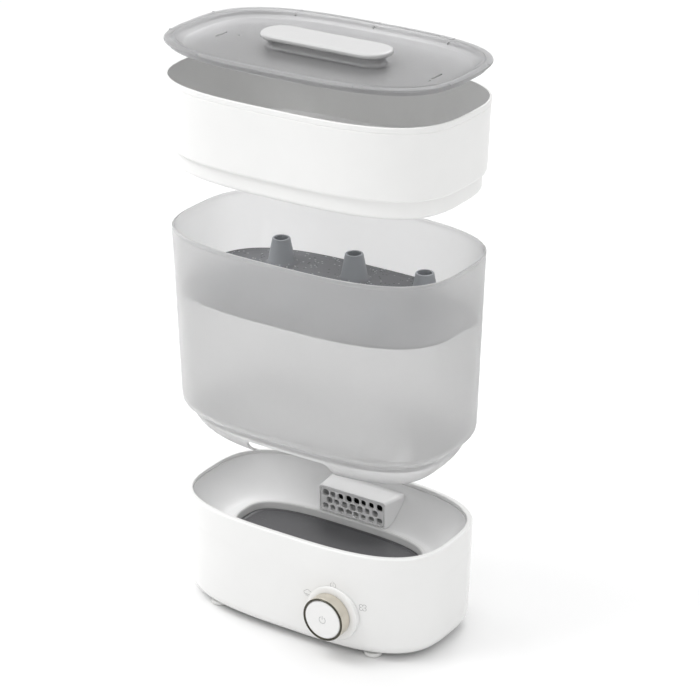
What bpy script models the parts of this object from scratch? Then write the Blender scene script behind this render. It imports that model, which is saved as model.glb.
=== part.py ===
"""Electric steam steriliser and dryer for baby bottles, shown lifted apart.

Frame: +Z up, +X along the long side, -Y towards the knob, z = 0 under the feet.
Every tier shares one rounded footprint. A tier's plan at any height is given by its
half length alone, because its walls keep the same distance all round.
The lid, the upper basket and the lower basket are shown lifted off their seats.
"""
import bpy
import bmesh
import math
from mathutils import Vector

MM = 0.001
GAP = 0.3 * MM                       # clearance between pieces that touch

# ---- driving dimensions ----------------------------------------------------
SQUARENESS = 3.07                    # exponent of the rounded footprint
SEGMENTS = 40                        # sides of a footprint
LID_HALF_LENGTH = 146.0 * MM
LID_HALF_DEPTH = 86.5 * MM
SLENDERNESS = LID_HALF_LENGTH - LID_HALF_DEPTH
WALL = 2.0 * MM

BASE_BOTTOM_Z = 4.5 * MM             # underside of the base, above the feet
BASE_RIM_Z = 108.0 * MM              # seat of the lower basket
BASE_EDGE_RADIUS = 12.7 * MM
TUB_RIM_HALF = 132.8 * MM
TUB_FLOOR_Z = 71.0 * MM
TUB_FLARE = 28.0 * MM                # how far the tub's wall curves in down to its floor
SCREW_PLACES = [(x * MM, y * MM) for x in (-100, 100) for y in (-39, 39)]
SCREW_CLEARANCE = 2.0 * MM
FOOT_PLACES = {"front_left": (-86, -55), "front_right": (86, -55),
               "rear_left": (-86, 55), "rear_right": (86, 55)}

LOWER_LIFT = 89.1 * MM               # how far each tier is lifted off its seat
UPPER_LIFT = 74.9 * MM
LID_LIFT = 30.5 * MM
LOWER_RIM = 175.5 * MM               # rim above the tier's own seat
UPPER_RIM = 66.1 * MM
SKIRT_DEPTH = 30.0 * MM
SKIRT_RIM_HALF = 131.9 * MM
SKIRT_FLARE = 25.0 * MM
NOTCH_HALF = 44.0 * MM
NOTCH_DEPTH = 10.6 * MM
TRAY_SHELF = 116.8 * MM              # shelf inside the lower basket
CONE_SPACING = 77.5 * MM
CONE_ROW_MIDDLE = 44.0 * MM          # the middle cones stand a little nearer the walls
CONE_ROW_ENDS = 40.0 * MM
DRAIN_RADIUS = 2.6 * MM
STEM_HALF = 62.0 * MM                # half length of the lid's stem at its foot
PAD_HALF = 65.0 * MM
STRAIGHT_HALF = 46.0 * MM            # half length of the straight sides of stem and pad
VENT_X = 111.0 * MM                  # steam slots near the ends of the lid
PINHOLES = ((-96.0 * MM, 6.0 * MM), (112.0 * MM, -13.0 * MM))

KNOB_X = 54.7 * MM
KNOB_Z = 43.0 * MM
KNOB_FRONT_Y = -92.0 * MM
KNOB_BACK_Y = -78.3 * MM
SHAFT_CLEARANCE = 6.0 * MM
BOARD_Y = -58.7 * MM

BLOWER_X = -24.0 * MM
BLOWER_Z = 38.0 * MM
SCROLL_RADIUS = 27.0 * MM
TONGUE = 5.0 * MM                    # from the fan's axis to the scroll's straight side
BLADES = 11
LOUVRES = 5
INLET_X = 63.0 * MM                  # mains socket on the back
INLET_Z = 25.5 * MM

FRAME_Y = (-KNOB_FRONT_Y - LID_HALF_DEPTH) / 2   # centres the whole object on the origin


# ---- scene and materials -----------------------------------------------------
def clear_scene():
    for item in list(bpy.data.objects):
        bpy.data.objects.remove(item, do_unlink=True)


def material(name, colour, roughness, metallic=0.0, alpha=1.0):
    made = bpy.data.materials.new(name)
    made.use_nodes = True
    shader = made.node_tree.nodes["Principled BSDF"]
    shader.inputs["Base Color"].default_value = (*colour, 1.0)
    shader.inputs["Roughness"].default_value = roughness
    shader.inputs["Metallic"].default_value = metallic
    shader.inputs["Alpha"].default_value = alpha
    made.diffuse_color = (*colour, alpha)
    return made


# ---- mesh helpers --------------------------------------------------------------
def to_object(name, bm, finish=None, parent=None):
    """Turn a bmesh into a named object."""
    bmesh.ops.recalc_face_normals(bm, faces=bm.faces)
    mesh = bpy.data.meshes.new(name)
    bm.to_mesh(mesh)
    bm.free()
    made = bpy.data.objects.new(name, mesh)
    bpy.context.collection.objects.link(made)
    made.parent = parent
    if finish:
        mesh.materials.append(finish)
    smooth(mesh)
    return made


def smooth(mesh):
    mesh.shade_smooth()
    mesh.set_sharp_from_angle(angle=math.radians(35))


def boolean(target, tool, operation="DIFFERENCE"):
    """Cut, keep or join target with tool, and remove the tool."""
    modifier = target.modifiers.new("cut", "BOOLEAN")
    modifier.operation = operation
    modifier.object = tool
    bpy.context.view_layer.update()
    graph = bpy.context.evaluated_depsgraph_get()
    mesh = bpy.data.meshes.new_from_object(target.evaluated_get(graph))
    target.modifiers.remove(modifier)
    target.data = mesh
    smooth(mesh)
    bpy.data.objects.remove(tool)


def empty(name, location, parent=None):
    made = bpy.data.objects.new(name, None)
    bpy.context.collection.objects.link(made)
    made.location = location
    made.parent = parent
    return made


def add_loft(bm, rings, closed):
    """Skin a stack of loops. closed joins the last to the first, otherwise both are capped."""
    stack = [[bm.verts.new(point) for point in ring] for ring in rings]
    count = len(stack[0])
    pairs = list(zip(stack, stack[1:]))
    if closed:
        pairs.append((stack[-1], stack[0]))
    else:
        bm.faces.new(stack[0][::-1])
        bm.faces.new(stack[-1])
    for lower, upper in pairs:
        for i in range(count):
            j = (i + 1) % count
            bm.faces.new((lower[i], lower[j], upper[j], upper[i]))


def loft(rings, closed):
    bm = bmesh.new()
    add_loft(bm, rings, closed)
    return bm


def plan(half, z):
    """The rounded footprint with the given half length, at height z."""
    depth = half - SLENDERNESS
    power = 2 / SQUARENESS
    points = []
    for step in range(SEGMENTS):
        turn = math.tau * step / SEGMENTS
        x = math.copysign(abs(math.cos(turn)) ** power, math.cos(turn))
        y = math.copysign(abs(math.sin(turn)) ** power, math.sin(turn))
        points.append(Vector((half * x, depth * y, z)))
    return points


def shell(name, profile, finish, parent):
    """A hollow tier: its wall section is a closed list of (half length, z)."""
    return to_object(name, loft([plan(half, z) for half, z in profile], True), finish, parent)


def slab(name, profile, finish=None, parent=None):
    """A filled plate or volume: its edge is an open list of (half length, z)."""
    return to_object(name, loft([plan(half, z) for half, z in profile], False), finish, parent)


def arc(centre, radius, start, end, steps=4):
    """Points of an arc in a section, angles in degrees."""
    turns = [math.radians(start + (end - start) * i / steps) for i in range(steps + 1)]
    return [(centre[0] + radius * math.cos(t), centre[1] + radius * math.sin(t)) for t in turns]


def box(name, low, high, finish=None, parent=None, chamfer=0.0):
    bm = bmesh.new()
    low = Vector(low)
    high = Vector(high)
    bmesh.ops.create_cube(bm, size=1.0)
    for vert in bm.verts:
        vert.co = Vector([low[i] + (vert.co[i] + 0.5) * (high[i] - low[i]) for i in range(3)])
    if chamfer:
        bmesh.ops.bevel(bm, geom=bm.edges[:], offset=chamfer, segments=1, affect="EDGES")
    return to_object(name, bm, finish, parent)


def turned(name, profile, centre, axis="Z", finish=None, parent=None, sides=32, hollow=False):
    """A piece turned on a lathe: the section is a list of (radius, height along the axis).

    A hollow section is closed, a solid one is capped at both ends.
    """
    rings = []
    for radius, height in profile:
        ring = []
        for step in range(sides):
            turn = math.tau * step / sides
            local = Vector((radius * math.cos(turn), radius * math.sin(turn), height))
            if axis == "Y":
                local = Vector((local.x, height, local.y))
            ring.append(local + Vector(centre))
        rings.append(ring)
    return to_object(name, loft(rings, hollow), finish, parent)


def extruded(name, outline, low, high, finish=None, parent=None):
    """Extrude an outline of (x, z) points along Y."""
    ends = [[Vector((x, y, z)) for x, z in outline] for y in (low, high)]
    return to_object(name, loft(ends, False), finish, parent)


def rounded_box_outline(centre, half_x, half_y, radius, steps=3):
    """A rectangle with round corners, as points about a centre."""
    points = []
    for corner, (sx, sy) in enumerate(((1, 1), (-1, 1), (-1, -1), (1, -1))):
        middle = (centre[0] + sx * (half_x - radius), centre[1] + sy * (half_y - radius))
        points += arc(middle, radius, 90 * corner, 90 * corner + 90, steps)
    return points


def drilled(target, outlines, low, high):
    """Cut vertical holes with the given (x, y) outlines from z = low to z = high."""
    bm = bmesh.new()
    for outline in outlines:
        add_loft(bm, [[Vector((x, y, z)) for x, y in outline] for z in (low, high)], False)
    boolean(target, to_object("drill", bm, parent=target.parent))


def circle_outline(x, y, radius, sides=8):
    turns = [math.tau * i / sides for i in range(sides)]
    return [(x + radius * math.cos(turn), y + radius * math.sin(turn)) for turn in turns]


def wire(name, points, radius, finish, parent):
    """A bent rod or coil: a curve with a round bevel and filled ends."""
    curve = bpy.data.curves.new(name, "CURVE")
    curve.dimensions = "3D"
    spline = curve.splines.new("POLY")
    spline.points.add(len(points) - 1)
    for point, target in zip(points, spline.points):
        target.co = (*point, 1.0)
    curve.bevel_depth = radius
    curve.bevel_resolution = 1
    curve.use_fill_caps = True
    curve.materials.append(finish)
    made = bpy.data.objects.new(name, curve)
    bpy.context.collection.objects.link(made)
    made.parent = parent
    return made


# ---- base --------------------------------------------------------------------------
def housing_section():
    """Wall of the base shell, from the rounded rim down the outside and up the inside."""
    radius = BASE_EDGE_RADIUS
    low = BASE_BOTTOM_Z
    foot = 135.7 * MM
    inner = radius - 2.4 * MM
    rim = arc((136.3 * MM, BASE_RIM_Z - 1.7 * MM), 1.7 * MM, 90, 0, 2)
    outside = [(137.5 * MM, 74 * MM), (136.7 * MM, 40 * MM)]
    edge = arc((foot - radius, low + radius), radius, 0, -90, 4)
    flange = [(119 * MM, low), (119 * MM, low + 2.8 * MM), (111 * MM, low + 2.8 * MM),
              (111 * MM, low + 5.2 * MM)]
    inside = arc((foot - radius, low + radius), inner, -60, 0, 2)
    top = [(134.2 * MM, 40 * MM), (135.0 * MM, 74 * MM), (135.4 * MM, 104.6 * MM),
           (133.0 * MM, 104.6 * MM), (133.0 * MM, 107.2 * MM)]
    return rim + outside + edge + flange + inside + top


def bowl_half(rim_half, flare, share):
    """Half length of a bowl's wall at a share of its depth, curving in by the flare."""
    return rim_half - flare * (1 - (1 - share ** 1.5) ** (2 / 3))


def tub_volume(name, clearance):
    """The filled bowl of the tub, smaller by the clearance, or larger where it is negative."""
    full = BASE_RIM_Z - TUB_FLOOR_Z
    rings = [(TUB_RIM_HALF - clearance, BASE_RIM_Z + 8 * MM)]
    for share in (0.08, 0.35, 0.58, 0.76, 0.9, 1.0):
        half = bowl_half(TUB_RIM_HALF - clearance, TUB_FLARE, share)
        rings.append((half, BASE_RIM_Z - full * share + clearance * share))
    return slab(name, rings)


def build_housing(parent, paint):
    """The glossy shell, with a louvred filter cover cut out of its back."""
    gloss = paint["white gloss"]
    housing = shell("outer_housing", housing_section(), gloss, parent)
    cover = shell("filter_cover", housing_section(), gloss, parent)
    shaft_hole = [(SHAFT_CLEARANCE, -90 * MM), (SHAFT_CLEARANCE, -60 * MM)]
    boolean(housing, turned("shaft_hole", shaft_hole, (KNOB_X, 0, KNOB_Z), "Y", parent=parent))
    low = (-52 * MM, 60 * MM, 20 * MM)
    high = (4 * MM, 90 * MM, 56 * MM)
    boolean(housing, box("filter_opening", low, high, parent=parent))
    inset = Vector((0.4 * MM, 0, 0.4 * MM))
    limits = box("cover_limits", Vector(low) + inset, Vector(high) - inset, parent=parent)
    boolean(cover, limits, "INTERSECT")
    for row in range(LOUVRES):
        z = 27 * MM + row * 5.5 * MM
        low_corner = (-46 * MM, 60 * MM, z)
        high_corner = (-2 * MM, 90 * MM, z + 2.2 * MM)
        boolean(cover, box("louvre", low_corner, high_corner, parent=parent))
    low = (INLET_X - 13 * MM, 60 * MM, INLET_Z - 9.5 * MM)
    high = (INLET_X + 13 * MM, 90 * MM, INLET_Z + 9.5 * MM)
    boolean(housing, box("inlet_opening", low, high, parent=parent))
    drilled(housing, [circle_outline(x, y, SCREW_CLEARANCE) for x, y in SCREW_PLACES], 0, 12 * MM)


def build_tub(parent, paint):
    """The grey inner tub: a bowl with an opening for the heater and one for the warm air."""
    full = BASE_RIM_Z - TUB_FLOOR_Z
    shares = (0.10, 0.35, 0.58, 0.76, 0.9, 1.0)
    inside = [(bowl_half(TUB_RIM_HALF, TUB_FLARE, s), BASE_RIM_Z - full * s) for s in shares]
    outside = [(half + WALL, z - WALL * s) for (half, z), s in zip(inside, shares)]
    heater_hole = 97.9 * MM
    floor = [(heater_hole, TUB_FLOOR_Z), (heater_hole, TUB_FLOOR_Z - WALL)]
    tub = shell("inner_tub", inside + floor + outside[::-1], paint["tub grey"], parent)
    boolean(tub, box("air_hole", (-30 * MM, 40 * MM, 76 * MM), (30 * MM, 80 * MM, 92 * MM), parent=parent))

    front = 40 * MM
    face = rounded_box_outline((0, 83.8 * MM), 37.5 * MM, 14.7 * MM, 3 * MM)
    root = rounded_box_outline((0, 82.8 * MM), 43.5 * MM, 13.7 * MM, 3 * MM)
    ends = [[Vector((x, y, z)) for x, z in outline] for outline, y in ((face, front), (root, 80 * MM))]
    hood = to_object("vent_hood", loft(ends, False), paint["tub grey"], parent)
    inner = tub_volume("tub_space", GAP)
    inner.parent = parent
    boolean(hood, inner, "INTERSECT")
    low = (-34 * MM, 30 * MM, 74.5 * MM)
    high = (34 * MM, 90 * MM, 93.5 * MM)
    boolean(hood, box("air_passage", low, high, parent=parent))
    recess = rounded_box_outline((0, 84 * MM), 35.8 * MM, 12.3 * MM, 4 * MM)
    boolean(hood, extruded("grille_recess", recess, 30 * MM, front + 2.6 * MM, parent=parent))
    build_grille(parent, paint["tub grey"], front + GAP)


def build_grille(parent, finish, front):
    """A honeycomb of slightly uneven round-cornered holes in three staggered rows."""
    outline = rounded_box_outline((0, 84 * MM), 35.4 * MM, 11.9 * MM, 3.7 * MM)
    grille = extruded("vent_grille", outline, front, front + 2.0 * MM, finish, parent)
    bm = bmesh.new()
    sides = 7
    for row in range(3):
        count = 8 if row != 1 else 7
        for column in range(count):
            uneven = math.sin(12.9 * row + 4.7 * column)
            x = (column - (count - 1) / 2) * 8.6 * MM + 0.5 * MM * uneven
            z = 84 * MM + (row - 1) * 7.3 * MM + 0.3 * MM * math.cos(7.1 * column + row)
            radius = (3.1 + 0.35 * uneven) * MM
            ring = circle_outline(x, z, radius, sides)
            ends = [[Vector((px, y, pz)) for px, pz in ring] for y in (front - 1 * MM, front + 3 * MM)]
            add_loft(bm, ends, False)
    boolean(grille, to_object("honeycomb", bm, parent=parent))


def build_bottom(parent, paint):
    low = BASE_BOTTOM_Z
    half = 118.6 * MM
    cover = slab("bottom_cover", [(half, low), (half, low + 2.4 * MM)], paint["white matt"], parent)
    slots = []
    for column in range(9):
        slots.append(rounded_box_outline(((column - 4) * 12 * MM, 0), 2.5 * MM, 18 * MM, 2.4 * MM, 1))
    holes = [circle_outline(x, y, SCREW_CLEARANCE) for x, y in SCREW_PLACES]
    drilled(cover, slots + holes, 0, 12 * MM)
    for place, (x, y) in FOOT_PLACES.items():
        section = [(6.0, 0.0), (7.7, 0.5), (8.5, 1.8), (8.5, 4.2)]
        turned("foot_" + place, [(r * MM, z * MM) for r, z in section], (x * MM, y * MM, 0),
               finish=paint["white matt"], parent=parent, sides=16)
    for number, (x, y) in enumerate(SCREW_PLACES, 1):
        section = [(2.4, 2.6), (3.4, 3.2), (3.4, 4.2), (1.6, 4.2), (1.6, 14.0)]
        turned("cover_screw_%d" % number, [(r * MM, z * MM) for r, z in section], (x, y, 0),
               finish=paint["steel"], parent=parent, sides=12)


def build_heater(parent, paint):
    plate = [(93.8, 62.6), (95.0, 63.2), (95.0, 65.4), (93.6, 66.0), (91.5, 65.0)]
    slab("heater_plate", [(h * MM, z * MM) for h, z in plate], paint["heater coating"], parent)
    seal = [(95.4, 62.6), (97.5, 62.6), (97.5, 71.4), (99.2, 71.4), (96.4, 72.6)]
    shell("heater_seal", [(h * MM, z * MM) for h, z in seal], paint["silicone"], parent)
    path = []
    for degrees in range(-60, 241, 12):
        angle = math.radians(degrees)
        path.append(Vector((62 * MM * math.cos(angle), 24 * MM * math.sin(angle), 58.8 * MM)))
    terminal = Vector((0, 0, 14 * MM))
    wire("heater_element", [path[0] - terminal] + path + [path[-1] - terminal], 3.3 * MM, paint["steel"],
         parent)
    cutout = [(4, 48), (4, 53), (8, 53), (8, 62), (7, 62.3)]
    turned("thermostat", [(r * MM, z * MM) for r, z in cutout], (20 * MM, 0, 0), finish=paint["steel"],
           parent=parent, sides=20)


def build_dryer(parent, paint, spin):
    """The blower behind the rear louvres, and its duct up to the vent hood."""
    black = paint["black"]
    centre = (BLOWER_X, 0, BLOWER_Z)

    def scroll(inset, top):
        radius = SCROLL_RADIUS - inset
        right = BLOWER_X + radius
        left = BLOWER_X + TONGUE + inset
        tongue = math.degrees(math.acos(TONGUE / SCROLL_RADIUS))
        points = arc((BLOWER_X, BLOWER_Z), radius, 0, -360 + tongue, 26)
        return points + [(left, top), (right, top)]

    shroud = extruded("fan_shroud", scroll(0, 66 * MM), 46 * MM, 64.5 * MM, black, parent)
    boolean(shroud, extruded("scroll_space", scroll(2 * MM, 70 * MM), 48 * MM, 62.5 * MM, parent=parent))
    boolean(shroud, turned("eye", [(14 * MM, 60 * MM), (14 * MM, 68 * MM)], centre, "Y", parent=parent))
    boolean(shroud, turned("shaft_way", [(3 * MM, 44 * MM), (3 * MM, 50 * MM)], centre, "Y", parent=parent))
    motor = [(1.2, 59), (1.2, 45.4), (6, 45.4), (6, 44.5), (14, 44.5), (14, 27), (12, 25.5)]
    turned("fan_motor", [(r * MM, y * MM) for r, y in motor], centre, "Y", paint["steel"], parent, 24)

    outline = []
    for blade in range(BLADES):
        for radius, lead in ((9, 0.0), (19.5, 0.30), (20.5, 0.48), (11, 0.35)):
            turn = math.tau * (blade + lead) / BLADES
            outline.append((radius * MM * math.cos(turn), radius * MM * math.sin(turn)))
    impeller = extruded("fan_impeller", outline, -6 * MM, 5 * MM, paint["fan grey"], spin)
    plate = [(19 * MM, -6.6 * MM), (19 * MM, -5 * MM)]
    back = turned("fan_back", plate, (0, 0, 0), "Y", parent=spin, sides=33)
    boolean(impeller, back, "UNION")
    hole = [(1.6 * MM, -9 * MM), (1.6 * MM, 8 * MM)]
    bore = turned("fan_bore", hole, (0, 0, 0), "Y", parent=spin, sides=16)
    boolean(impeller, bore)

    wide = [(-19, 66.4), (3, 66.4), (33, 79), (33, 96), (-33, 96), (-33, 79)]
    duct = extruded("air_duct", [(x * MM, z * MM) for x, z in wide], 46 * MM, 73.4 * MM, black, parent)
    narrow = [(-17, 60), (1, 60), (1, 67), (31, 80), (31, 94), (-31, 94), (-31, 80), (-17, 73)]
    space = [(x * MM, z * MM) for x, z in narrow]
    boolean(duct, extruded("duct_space", space, 48 * MM, 71.4 * MM, parent=parent))
    outer = tub_volume("tub_outside", -WALL - GAP)
    outer.parent = parent
    boolean(duct, outer)
    low = (-50 * MM, 65.2 * MM, 23 * MM)
    high = (2 * MM, 70.6 * MM, 53 * MM)
    box("air_filter", low, high, paint["filter foam"], parent, 0.6 * MM)


def build_electronics(parent, paint):
    low = (30 * MM, BOARD_Y, 14 * MM)
    high = (96 * MM, BOARD_Y + 1.6 * MM, 62 * MM)
    box("control_board", low, high, paint["board green"], parent)
    switch = box("selector_switch", (KNOB_X - 8 * MM, -71.6 * MM, KNOB_Z - 8 * MM),
                 (KNOB_X + 8 * MM, -65 * MM, KNOB_Z + 8 * MM), paint["black"], parent, 0.6 * MM)
    boolean(switch, turned("switch_bore", [(5.5 * MM, -80 * MM), (5.5 * MM, -60 * MM)],
                           (KNOB_X, 0, KNOB_Z), "Y", parent=parent))
    button = box("tact_switch", (KNOB_X - 4 * MM, -61.6 * MM, KNOB_Z - 4 * MM),
                 (KNOB_X + 4 * MM, BOARD_Y - GAP, KNOB_Z + 4 * MM), paint["black"], parent, 0.4 * MM)
    pin = [(1.8 * MM, -62.9 * MM), (1.8 * MM, -60 * MM)]
    plunger = turned("plunger", pin, (KNOB_X, 0, KNOB_Z), "Y", parent=parent, sides=16)
    boolean(button, plunger, "UNION")
    low = (INLET_X - 12.6 * MM, 56 * MM, INLET_Z - 9.1 * MM)
    high = (INLET_X + 12.6 * MM, 75.4 * MM, INLET_Z + 9.1 * MM)
    inlet = box("power_inlet", low, high, paint["black"], parent, 1.0 * MM)
    low = (INLET_X - 9 * MM, 62 * MM, INLET_Z - 5 * MM)
    high = (INLET_X + 9 * MM, 80 * MM, INLET_Z + 5 * MM)
    boolean(inlet, box("socket", low, high, parent=parent))
    pin = [(1.2 * MM, 60 * MM), (1.2 * MM, 73 * MM)]
    for x in (INLET_X - 4 * MM, INLET_X + 4 * MM):
        boolean(inlet, turned("pin", pin, (x, 0, INLET_Z), "Y", parent=parent, sides=10), "UNION")


def build_knob(base, knob, paint):
    """The selector: a metal ring that turns, with the power button in its face."""
    centre = (KNOB_X, 0, KNOB_Z)
    disc = [(27.0 * MM, -70 * MM), (27.0 * MM, -77.0 * MM), (26.0 * MM, -77.9 * MM)]
    bezel = turned("knob_bezel", disc, centre, "Y", paint["white gloss"], base, 48)
    wall = [(136.2, 10), (136.2, 18), (137.0, 40), (137.8, 74)]
    boolean(bezel, slab("housing_outside", [(half * MM, z * MM) for half, z in wall], parent=base))
    bore = [(SHAFT_CLEARANCE, -85 * MM), (SHAFT_CLEARANCE, -60 * MM)]
    boolean(bezel, turned("bezel_bore", bore, centre, "Y", parent=base))

    def along(profile):
        return [(r * MM, y * MM - KNOB_BACK_Y) for r, y in profile]

    ring = [(20.4, -78.3), (20.9, -78.8), (20.9, -90.4), (19.0, -90.4), (19.0, -82.3), (5.4, -82.3),
            (5.4, -78.3)]
    turned("knob_ring", along(ring), (0, 0, 0), "Y", paint["champagne metal"], knob, 40, hollow=True)
    trim = [(19.0, -90.7), (20.9, -90.7), (20.9, -91.4), (20.3, -92.0), (19.0, -91.6)]
    turned("knob_trim", along(trim), (0, 0, 0), "Y", paint["dark trim"], knob, 40, hollow=True)
    shaft = [(5.1, -82.0), (3.2, -82.0), (3.2, -66.0), (5.1, -66.0)]
    turned("knob_shaft", along(shaft), (0, 0, 0), "Y", paint["fan grey"], knob, 24, hollow=True)
    face = [(2.6, -64.5), (2.6, -89.0), (18.4, -89.0), (18.7, -89.4), (18.7, -91.0), (17.6, -91.7)]
    turned("power_button", along(face), (0, 0, 0), "Y", paint["white gloss"], knob, 40)
    turns = 4
    steps = 10
    radius = 7.5 * MM
    length = 3.8 * MM
    coil = []
    for step in range(turns * steps + 1):
        turn = math.tau * step / steps
        y = -83.2 * MM - KNOB_BACK_Y - length * step / (turns * steps)
        coil.append(Vector((radius * math.cos(turn), y, radius * math.sin(turn))))
    wire("button_spring", coil, 0.5 * MM, paint["steel"], knob)


# ---- lower basket and tray -----------------------------------------------------------
def lower_half(z):
    """Half length of the lower basket's outer face at a height above its seat."""
    share = (z - 6 * MM) / (LOWER_RIM - 6 * MM)
    return (139.5 + (144.2 - 139.5) * share) * MM


def skirt_half(depth):
    """Half length of the lower basket's bowl-shaped skirt at a depth below its seat."""
    return bowl_half(SKIRT_RIM_HALF, SKIRT_FLARE, depth / SKIRT_DEPTH)


def build_lower_basket(parent, paint):
    frosted = paint["frosted"]
    rim = LOWER_RIM
    shelf = TRAY_SHELF - GAP
    below = 3.2 * MM
    outside = [(lower_half(rim) - 0.5 * MM, rim), (lower_half(rim), rim - 0.6 * MM),
               (lower_half(9 * MM), 9 * MM)]
    shoulder = [(138.7 * MM, 5 * MM), (136.9 * MM, 1.6 * MM), (134.9 * MM, 0)]
    inside = [(132.4 * MM, 0), (lower_half(9 * MM) - below, 7 * MM), (lower_half(shelf) - below, shelf),
              (lower_half(shelf) - WALL, shelf), (lower_half(rim) - WALL, rim)]
    shell("large_basket", outside + shoulder + inside, frosted, parent)

    shares = (0.0, 0.3, 0.55, 0.76, 0.92, 1.0)
    outer = [(skirt_half(SKIRT_DEPTH * s), -SKIRT_DEPTH * s) for s in shares]
    inner = [(half - WALL, z) for half, z in outer]
    lip = [(skirt_half(0) - WALL, 2.4 * MM), (skirt_half(0), 2.4 * MM)]
    skirt = shell("basket_skirt", outer + inner[::-1] + lip, frosted, parent)
    low = (-NOTCH_HALF, -120 * MM, -50 * MM)
    high = (NOTCH_HALF, 120 * MM, -NOTCH_DEPTH)
    boolean(skirt, box("notch", low, high, parent=parent))

    top = -5.6 * MM
    low = -7.8 * MM
    half = skirt_half(-low) - WALL - 0.5 * MM
    floor = slab("large_basket_floor", [(half, low), (half, top)], frosted, parent)
    slots = []
    for row in (-1, 1):
        for column in range(9):
            middle = ((column - 4) * 24 * MM, row * 24 * MM)
            slots.append(rounded_box_outline(middle, 3.5 * MM, 15 * MM, 3.4 * MM, 1))
    drilled(floor, slots, low - 2 * MM, top + 2 * MM)


def build_tray(parent, paint):
    """The drying tray: a thin plate with drain holes, carrying six hollow cones."""
    half = lower_half(TRAY_SHELF) - WALL - 0.5 * MM
    low = 0.0
    top = 2.0 * MM
    tray = slab("bottle_tray", [(half - 0.4 * MM, low), (half, low + 0.5 * MM), (half, top - 0.4 * MM),
                                (half - 0.4 * MM, top)], paint["tray grey"], parent)
    places = []
    for side in (-1, 1):
        for column in (-1, 0, 1):
            row = CONE_ROW_ENDS if column else CONE_ROW_MIDDLE
            places.append((column * CONE_SPACING, side * row))
    for x, y in places:
        section = [(16.6, 0.7), (14.6, 3.2), (12.2, 7.0), (8.4, 26.4), (7.6, 27.0)]
        cone = turned("cone", [(r * MM, z * MM) for r, z in section], (x, y, 0), parent=parent, sides=16)
        boolean(tray, cone, "UNION")
    for x, y in places:
        section = [(13.0, -2.0), (10.4, 7.0), (6.2, 29.0)]
        section = [(r * MM, z * MM) for r, z in section]
        boolean(tray, turned("cone_space", section, (x, y, 0), parent=parent, sides=16))
    drains = []
    for column in range(-7, 8):
        for row in (-1, 1):
            x = column * 15.5 * MM
            y = row * 8 * MM
            clear = min(math.hypot(x - cx, y - cy) for cx, cy in places)
            if clear > 23 * MM:
                drains.append(circle_outline(x, y, DRAIN_RADIUS, 6))
    drilled(tray, drains, -2 * MM, 4 * MM)


# ---- upper basket and lid ---------------------------------------------------------------
def build_upper_basket(parent, paint):
    rim = UPPER_RIM
    low = -17.5 * MM
    outside = [(145.0 * MM, rim), (145.5 * MM, rim - 0.7 * MM), (143.3 * MM, 2.0 * MM), (142.4 * MM, 0),
               (139.6 * MM, 0)]
    corner = arc((134.6 * MM, low + 5 * MM), 5 * MM, 0, -90, 3)
    ledge = [(128 * MM, low), (128 * MM, low + 2 * MM), (134.4 * MM, low + 2 * MM)]
    inside = [(137.5 * MM, low + 5 * MM), (137.6 * MM, 2 * MM), (141.3 * MM, 4.4 * MM), (143.7 * MM, rim)]
    shell("small_basket", outside + corner + ledge + inside, paint["white satin"], parent)
    floor_low = low + 2 * MM + GAP
    floor = slab("small_basket_floor", [(133.6 * MM, floor_low), (134.2 * MM, floor_low + 2 * MM)],
                 paint["white satin"], parent)
    slots = []
    for row in (-1, 0, 1):
        for column in range(-4, 5):
            slots.append(rounded_box_outline((column * 25 * MM, row * 36 * MM), 4 * MM, 14 * MM, 3.9 * MM, 1))
    drilled(floor, slots, floor_low - 2 * MM, floor_low + 4 * MM)


def stadium(half, z, steps):
    """Loop with straight sides and round ends at height z, used for the stem and its pad."""
    depth = half - STRAIGHT_HALF
    outline = rounded_box_outline((0, 0), half, depth, depth - 0.2 * MM, steps)
    return [Vector((x, y, z)) for x, y in outline]


def build_lid(parent, paint):
    """Dished lid: flat flange, raised bead, sloping band, flat floor and a moulded stem."""
    section = [(142.0, -4.0), (142.0, 0.0), (145.6, 0.0), (146.0, 1.0), (145.4, 2.0), (140.2, 2.0),
               (139.0, 3.2), (137.2, 2.8), (131.0, -3.2), (126.0, -5.2)]
    under = [(126.0, -7.2), (132.2, -5.0), (137.6, 0.2), (140.2, 0.2), (140.2, -4.0)]
    rings = [plan(h * MM, z * MM) for h, z in section]
    lower = [plan(h * MM, z * MM) for h, z in under]
    lid = to_object("lid_panel", loft(lower + rings, False), paint["lid grey"], parent)

    levels = [(STEM_HALF, -6.4), (STEM_HALF, -5.2), (60 * MM, -4.2), (58.6 * MM, -2.0), (58.2 * MM, 3.0)]
    stem = [stadium(half, z * MM, 4) for half, z in levels]
    boolean(lid, to_object("stem", loft(stem, False), parent=parent), "UNION")
    finger = rounded_box_outline((0, 0), 55.5 * MM, 9.5 * MM, 9.4 * MM, 4)
    drilled(lid, [finger], -9 * MM, 1.0 * MM)

    vents = [rounded_box_outline((x, 0), 1.1 * MM, 8.5 * MM, 1.0 * MM, 2) for x in (-VENT_X, VENT_X)]
    vents += [circle_outline(x, y, 1.1 * MM) for x, y in PINHOLES]
    drilled(lid, vents, -9 * MM, -3 * MM)

    levels = [(63 * MM, 3.3), (PAD_HALF, 4.6), (PAD_HALF, 7.0), (64.2 * MM, 7.9), (62.6 * MM, 8.4)]
    pad = [stadium(half, z * MM, 6) for half, z in levels]
    to_object("lid_handle_cap", loft(pad, False), paint["white satin"], parent)


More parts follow.
